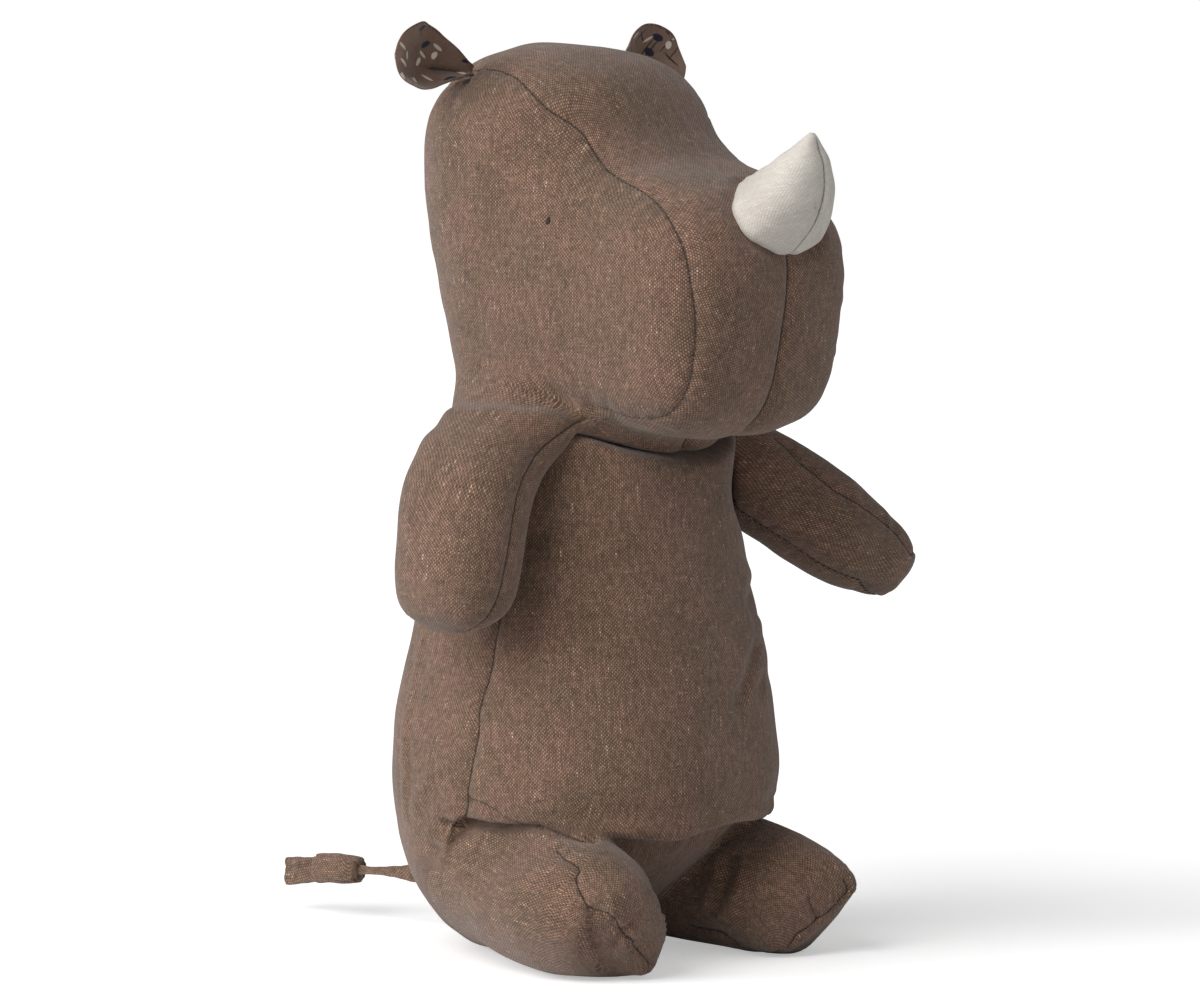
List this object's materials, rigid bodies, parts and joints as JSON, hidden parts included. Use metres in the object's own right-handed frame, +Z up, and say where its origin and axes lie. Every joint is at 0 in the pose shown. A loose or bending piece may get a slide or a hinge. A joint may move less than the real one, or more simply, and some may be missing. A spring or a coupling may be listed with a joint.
{
  "type": "sewn stuffed linen toy rhinoceros, sitting",
  "caption": "Sitting soft toy rhinoceros of brown linen, sewn and stuffed, with a pale linen horn, folded printed ears and a knotted strap tail; a still figure to set on a shelf or floor.",
  "frame": {"origin": "on the floor, under the middle of the toy's outline", "axes": "+Z up, the toy faces -Y, its own right arm is on the -X side and its tail points along +Y"},
  "size_m": [0.2162, 0.2692, 0.3384],
  "materials": {
    "brown_linen": "brown plain-weave linen with slubs, pressed over soft filling",
    "pale_linen": "undyed off-white plain-weave linen",
    "printed_linen": "brown cotton lining with a small scattered print in navy and cream",
    "dark_thread": "dark brown embroidery thread, wound into a knot"
  },
  "bodies": {
    "root": {"head": "brown_linen", "torso": "brown_linen", "arm_right": "brown_linen", "arm_left": "brown_linen", "leg_right": "brown_linen", "leg_left": "brown_linen", "horn": "pale_linen", "ear_right": "printed_linen", "ear_left": "printed_linen", "eye_right": "dark_thread", "eye_left": "dark_thread", "tail_strap": "brown_linen", "tail_knot": "brown_linen", "tail_tip": "brown_linen"}
  },
  "joints": []
}
